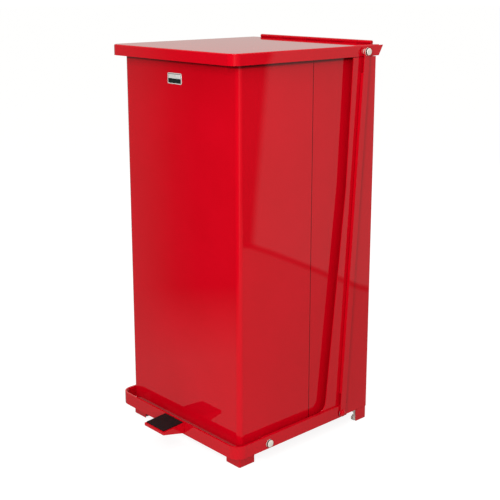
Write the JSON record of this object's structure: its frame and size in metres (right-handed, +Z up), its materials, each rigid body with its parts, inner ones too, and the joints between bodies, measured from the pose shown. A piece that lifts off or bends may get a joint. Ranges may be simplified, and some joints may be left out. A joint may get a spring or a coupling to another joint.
{
  "type": "step-on waste bin",
  "caption": "Tall square red steel step-on bin for biohazard waste: pedal frame round the base, side push rods, hinged overhanging lid and rigid lift-out liner.",
  "frame": {"origin": "on the floor, under the middle of the whole outline (pedal tip to lid ears)", "axes": "+X to the bin's own left when facing its back, that is to the right in a front view; +Y from the pedal towards the hinge; +Z up"},
  "size_m": [0.3966, 0.4512, 0.8036],
  "materials": {
    "red_paint": "gloss",
    "bare_steel": "zinc plated",
    "badge_metal": "satin",
    "rubber": "matte",
    "liner_plastic": "satin"
  },
  "bodies": {
    "bin": {"body_front_shell": "red_paint", "body_rear_shell": "red_paint", "floor_pan": "red_paint", "hinge_leaf": "red_paint", "leaf_rivet_1": "red_paint", "leaf_rivet_2": "red_paint", "leaf_rivet_3": "red_paint", "side_frame_left": "red_paint", "side_frame_right": "red_paint", "frame_rivet_left_1": "red_paint", "frame_rivet_left_2": "red_paint", "frame_rivet_right_1": "red_paint", "frame_rivet_right_2": "red_paint", "foot_front_left": "red_paint", "foot_front_right": "red_paint", "foot_rear_left": "red_paint", "foot_rear_right": "red_paint", "inner_liner": "liner_plastic", "hinge_pin": "bare_steel", "badge_plate": "badge_metal", "bail_pivot_bolt_left": "bare_steel", "bail_pivot_bolt_right": "bare_steel", "bail_pivot_nut_left": "bare_steel", "bail_pivot_nut_right": "bare_steel", "bail_pivot_washer_left": "bare_steel", "bail_pivot_washer_right": "bare_steel", "glide_stud_front_left": "bare_steel", "glide_stud_front_right": "bare_steel", "glide_stud_rear_left": "bare_steel", "glide_stud_rear_right": "bare_steel", "glide_pad_front_left": "rubber", "glide_pad_front_right": "rubber", "glide_pad_rear_left": "rubber", "glide_pad_rear_right": "rubber"},
    "lid": {"lid_pan": "red_paint", "bumper_front_left": "rubber", "bumper_front_right": "rubber", "bumper_rear_left": "rubber", "bumper_rear_right": "rubber", "lid_pivot_bolt_left": "bare_steel", "lid_pivot_bush_left": "bare_steel", "lid_pivot_nut_left": "bare_steel", "lid_pivot_bolt_right": "bare_steel", "lid_pivot_bush_right": "bare_steel", "lid_pivot_nut_right": "bare_steel"},
    "bail": {"pedal_bail": "red_paint", "pedal_plate": "red_paint", "pedal_tread": "rubber", "pedal_rivet_left": "red_paint", "pedal_rivet_right": "red_paint"},
    "rod_left": {"push_rod_left": "red_paint", "rod_foot_rivet_left": "red_paint", "rod_foot_washer_left": "bare_steel"},
    "rod_right": {"push_rod_right": "red_paint", "rod_foot_rivet_right": "red_paint", "rod_foot_washer_right": "bare_steel"}
  },
  "joints": [
    {"name": "lid_hinge", "type": "hinge", "parent": "bin", "child": "lid", "pos_m": [0, 0.21865, 0.7996], "axis": [-1, 0, 0], "range_deg": [0, 65]},
    {"name": "bail_pivot", "type": "hinge", "parent": "bin", "child": "bail", "pos_m": [0, -0.08735, 0.0395], "axis": [1, 0, 0], "range_deg": [0, 15]},
    {"name": "rod_left_pivot", "type": "hinge", "parent": "lid", "child": "rod_left", "pos_m": [-0.1915, 0.17065, 0.785], "axis": [1, 0, 0], "range_deg": [0, 65]},
    {"name": "rod_right_pivot", "type": "hinge", "parent": "lid", "child": "rod_right", "pos_m": [0.1915, 0.17065, 0.785], "axis": [1, 0, 0], "range_deg": [0, 65]}
  ],
  "couplings": [
    {"joint": "bail_pivot", "follows": "lid_hinge", "ratio": 0.2287},
    {"joint": "rod_left_pivot", "follows": "lid_hinge", "ratio": 0.983},
    {"joint": "rod_right_pivot", "follows": "lid_hinge", "ratio": 0.983}
  ]
}
